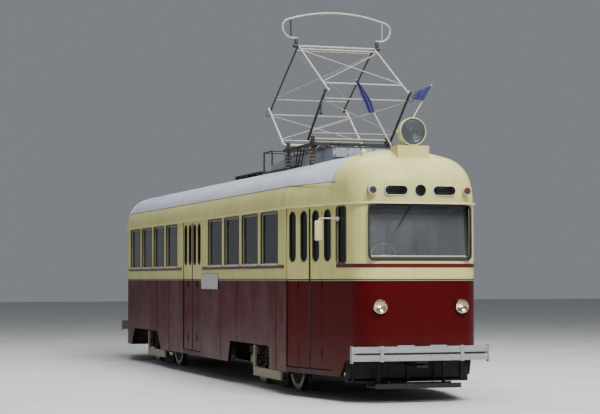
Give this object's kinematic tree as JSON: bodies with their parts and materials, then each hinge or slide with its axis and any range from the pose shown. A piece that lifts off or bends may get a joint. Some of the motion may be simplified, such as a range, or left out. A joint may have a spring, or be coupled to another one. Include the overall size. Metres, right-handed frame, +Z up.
{
  "type": "tram motor car",
  "caption": "Bogie tram motor car with a hollow body, folding doors, swivelling bogies and a folding diamond pantograph.",
  "frame": {"origin": "middle of the car's length and width, at the lowest points of the wheel flanges", "axes": "+X to the front of the car, +Y to its left side, +Z up"},
  "size_m": [15.1496, 2.606, 5.8179],
  "materials": {
    "maroon_enamel": "glossy maroon enamel",
    "cream_enamel": "cream enamel",
    "roof_canvas_paint": "grey painted canvas",
    "door_enamel": "maroon and cream enamel",
    "moulding_enamel": "maroon enamel moulding",
    "underframe_paint": "black chassis paint with road dust",
    "bogie_paint": "dusty black paint",
    "wheel_steel": "rolled steel, tread worn bright",
    "shield_paint": "cream paint, dusty",
    "window_glass": "clear glass",
    "bumper_paint": "silver-grey paint",
    "drawbar_steel": "black paint, worn",
    "lamp_glass": "lamp with chrome rim",
    "roof_lamp_paint": "cream enamel drum",
    "sign_glass": "dark sign face",
    "pantograph_tube": "light grey painted tube",
    "pantograph_steel": "dark grey painted steel",
    "collector_metal": "worn contact tube",
    "roof_equipment_paint": "light grey painted sheet",
    "floor_boards": "worn boards",
    "step_steel": "maroon edge, worn treads",
    "seat_leather": "brown leathercloth",
    "handrail_metal": "polished tube",
    "cab_wood": "varnished wood",
    "cab_paint": "grey-green paint",
    "mirror_paint": "cream back",
    "board_white": "white board, blank",
    "pole_paint": "light grey pole",
    "flag_cloth": "blue cloth",
    "screen_rubber": "black rubber frame"
  },
  "bodies": {
    "body": {"body_mouldings": "moulding_enamel", "bumpers": "bumper_paint", "cab_fittings": "cab_paint", "cab_partition": "cab_wood", "cab_window_band": "cream_enamel", "destination_signs": "sign_glass", "door_steps": "step_steel", "drawbars": "drawbar_steel", "flag_poles": "pole_paint", "flags": "flag_cloth", "floor": "floor_boards", "front_dome": "cream_enamel", "front_panel": "maroon_enamel", "glass_ends": "window_glass", "handrails": "handrail_metal", "headlamps": "lamp_glass", "letterboard": "cream_enamel", "lifeguard": "underframe_paint", "mirror": "mirror_paint", "pantograph_base": "pantograph_steel", "rear_panel": "maroon_enamel", "rear_window_band": "cream_enamel", "roof_canvas": "roof_canvas_paint", "roof_equipment": "roof_equipment_paint", "roof_headlamp": "roof_lamp_paint", "route_board": "board_white", "screen_frames": "screen_rubber", "seats": "seat_leather", "side_glass": "window_glass", "side_panel_left": "maroon_enamel", "side_panel_right": "maroon_enamel", "tail_lamps": "lamp_glass", "underframe": "underframe_paint", "window_band_left": "cream_enamel", "window_band_right": "cream_enamel"},
    "front_bogie": {"front_bogie_frame": "bogie_paint", "front_bogie_shields": "shield_paint"},
    "front_wheelset_1": {"front_wheelset_1": "wheel_steel"},
    "front_wheelset_2": {"front_wheelset_2": "wheel_steel"},
    "rear_bogie": {"rear_bogie_frame": "bogie_paint", "rear_bogie_shields": "shield_paint"},
    "rear_wheelset_1": {"rear_wheelset_1": "wheel_steel"},
    "rear_wheelset_2": {"rear_wheelset_2": "wheel_steel"},
    "door_front_leaf_1": {"door_front_leaf_1": "door_enamel"},
    "door_front_leaf_2": {"door_front_leaf_2": "door_enamel"},
    "door_front_leaf_3": {"door_front_leaf_3": "door_enamel"},
    "door_front_leaf_4": {"door_front_leaf_4": "door_enamel"},
    "door_middle_leaf_1": {"door_middle_leaf_1": "door_enamel"},
    "door_middle_leaf_2": {"door_middle_leaf_2": "door_enamel"},
    "door_middle_leaf_3": {"door_middle_leaf_3": "door_enamel"},
    "door_middle_leaf_4": {"door_middle_leaf_4": "door_enamel"},
    "door_rear_leaf_1": {"door_rear_leaf_1": "door_enamel"},
    "door_rear_leaf_2": {"door_rear_leaf_2": "door_enamel"},
    "door_rear_leaf_3": {"door_rear_leaf_3": "door_enamel"},
    "door_rear_leaf_4": {"door_rear_leaf_4": "door_enamel"},
    "pantograph_lower_front": {"pantograph_lower_front": "pantograph_tube"},
    "pantograph_upper_front": {"pantograph_upper_front": "pantograph_tube"},
    "pantograph_lower_rear": {"pantograph_lower_rear": "pantograph_tube"},
    "pantograph_upper_rear": {"pantograph_upper_rear": "pantograph_tube"},
    "pantograph_bow": {"pantograph_bow": "collector_metal"}
  },
  "joints": [
    {"name": "front_bogie_swivel", "type": "hinge", "parent": "body", "child": "front_bogie", "pos_m": [3.75, 0, 0.813], "axis": [0, 0, 1], "range_deg": [-10, 10]},
    {"name": "front_wheelset_1_spin", "type": "hinge", "parent": "front_bogie", "child": "front_wheelset_1", "pos_m": [4.65, 0, 0.408], "axis": [0, 1, 0], "continuous": true},
    {"name": "front_wheelset_2_spin", "type": "hinge", "parent": "front_bogie", "child": "front_wheelset_2", "pos_m": [2.85, 0, 0.408], "axis": [0, 1, 0], "continuous": true},
    {"name": "rear_bogie_swivel", "type": "hinge", "parent": "body", "child": "rear_bogie", "pos_m": [-3.75, 0, 0.813], "axis": [0, 0, 1], "range_deg": [-10, 10]},
    {"name": "rear_wheelset_1_spin", "type": "hinge", "parent": "rear_bogie", "child": "rear_wheelset_1", "pos_m": [-2.85, 0, 0.408], "axis": [0, 1, 0], "continuous": true},
    {"name": "rear_wheelset_2_spin", "type": "hinge", "parent": "rear_bogie", "child": "rear_wheelset_2", "pos_m": [-4.65, 0, 0.408], "axis": [0, 1, 0], "continuous": true},
    {"name": "front_door_fold", "type": "hinge", "parent": "body", "child": "door_front_leaf_1", "pos_m": [5.51262, -1.23827, 1.528], "axis": [0, 0, 1], "range_deg": [0, 85]},
    {"name": "front_door_hinge_2", "type": "hinge", "parent": "door_front_leaf_1", "child": "door_front_leaf_2", "pos_m": [5.80783, -1.19778, 1.528], "axis": [0, 0, -1], "range_deg": [0, 170]},
    {"name": "front_door_pivot_4", "type": "hinge", "parent": "body", "child": "door_front_leaf_4", "pos_m": [6.72356, -0.97136, 1.528], "axis": [0, 0, -1], "range_deg": [0, 85]},
    {"name": "front_door_hinge_3", "type": "hinge", "parent": "door_front_leaf_4", "child": "door_front_leaf_3", "pos_m": [6.43869, -1.05873, 1.528], "axis": [0, 0, 1], "range_deg": [0, 170]},
    {"name": "middle_door_fold", "type": "hinge", "parent": "body", "child": "door_middle_leaf_1", "pos_m": [-0.7, -1.244, 1.528], "axis": [0, 0, 1], "range_deg": [0, 85]},
    {"name": "middle_door_hinge_2", "type": "hinge", "parent": "door_middle_leaf_1", "child": "door_middle_leaf_2", "pos_m": [-0.403, -1.268, 1.528], "axis": [0, 0, -1], "range_deg": [0, 170]},
    {"name": "middle_door_pivot_4", "type": "hinge", "parent": "body", "child": "door_middle_leaf_4", "pos_m": [0.54, -1.244, 1.528], "axis": [0, 0, -1], "range_deg": [0, 85]},
    {"name": "middle_door_hinge_3", "type": "hinge", "parent": "door_middle_leaf_4", "child": "door_middle_leaf_3", "pos_m": [0.243, -1.268, 1.528], "axis": [0, 0, 1], "range_deg": [0, 170]},
    {"name": "rear_door_fold", "type": "hinge", "parent": "body", "child": "door_rear_leaf_1", "pos_m": [-6.72356, -0.97136, 1.528], "axis": [0, 0, 1], "range_deg": [0, 85]},
    {"name": "rear_door_hinge_2", "type": "hinge", "parent": "door_rear_leaf_1", "child": "door_rear_leaf_2", "pos_m": [-6.43869, -1.05873, 1.528], "axis": [0, 0, -1], "range_deg": [0, 170]},
    {"name": "rear_door_pivot_4", "type": "hinge", "parent": "body", "child": "door_rear_leaf_4", "pos_m": [-5.51262, -1.23827, 1.528], "axis": [0, 0, -1], "range_deg": [0, 85]},
    {"name": "rear_door_hinge_3", "type": "hinge", "parent": "door_rear_leaf_4", "child": "door_rear_leaf_3", "pos_m": [-5.80783, -1.19778, 1.528], "axis": [0, 0, 1], "range_deg": [0, 170]},
    {"name": "pantograph_raise", "type": "hinge", "parent": "body", "child": "pantograph_lower_front", "pos_m": [4.665, 0, 3.778], "axis": [0, -1, 0], "range_deg": [-30, 15]},
    {"name": "pantograph_front_knee", "type": "hinge", "parent": "pantograph_lower_front", "child": "pantograph_upper_front", "pos_m": [5.48486, 0, 4.43719], "axis": [0, 1, 0], "range_deg": [-53.7, 26.85]},
    {"name": "pantograph_rear_shaft", "type": "hinge", "parent": "body", "child": "pantograph_lower_rear", "pos_m": [3.435, 0, 3.778], "axis": [0, 1, 0], "range_deg": [-30, 15]},
    {"name": "pantograph_rear_knee", "type": "hinge", "parent": "pantograph_lower_rear", "child": "pantograph_upper_rear", "pos_m": [2.61514, 0, 4.43719], "axis": [0, -1, 0], "range_deg": [-53.7, 26.85]},
    {"name": "pantograph_bow_pivot", "type": "hinge", "parent": "pantograph_upper_front", "child": "pantograph_bow", "pos_m": [4.078, 0, 5.268], "axis": [0, -1, 0], "range_deg": [-23.7, 11.85]}
  ],
  "couplings": [
    {"joint": "front_door_hinge_2", "follows": "front_door_fold", "ratio": 2},
    {"joint": "front_door_pivot_4", "follows": "front_door_fold", "ratio": 1},
    {"joint": "front_door_hinge_3", "follows": "front_door_fold", "ratio": 2},
    {"joint": "middle_door_hinge_2", "follows": "middle_door_fold", "ratio": 2},
    {"joint": "middle_door_pivot_4", "follows": "middle_door_fold", "ratio": 1},
    {"joint": "middle_door_hinge_3", "follows": "middle_door_fold", "ratio": 2},
    {"joint": "rear_door_hinge_2", "follows": "rear_door_fold", "ratio": 2},
    {"joint": "rear_door_pivot_4", "follows": "rear_door_fold", "ratio": 1},
    {"joint": "rear_door_hinge_3", "follows": "rear_door_fold", "ratio": 2},
    {"joint": "pantograph_front_knee", "follows": "pantograph_raise", "ratio": 1.79},
    {"joint": "pantograph_rear_shaft", "follows": "pantograph_raise", "ratio": 1},
    {"joint": "pantograph_rear_knee", "follows": "pantograph_raise", "ratio": 1.79},
    {"joint": "pantograph_bow_pivot", "follows": "pantograph_raise", "ratio": 0.79}
  ]
}
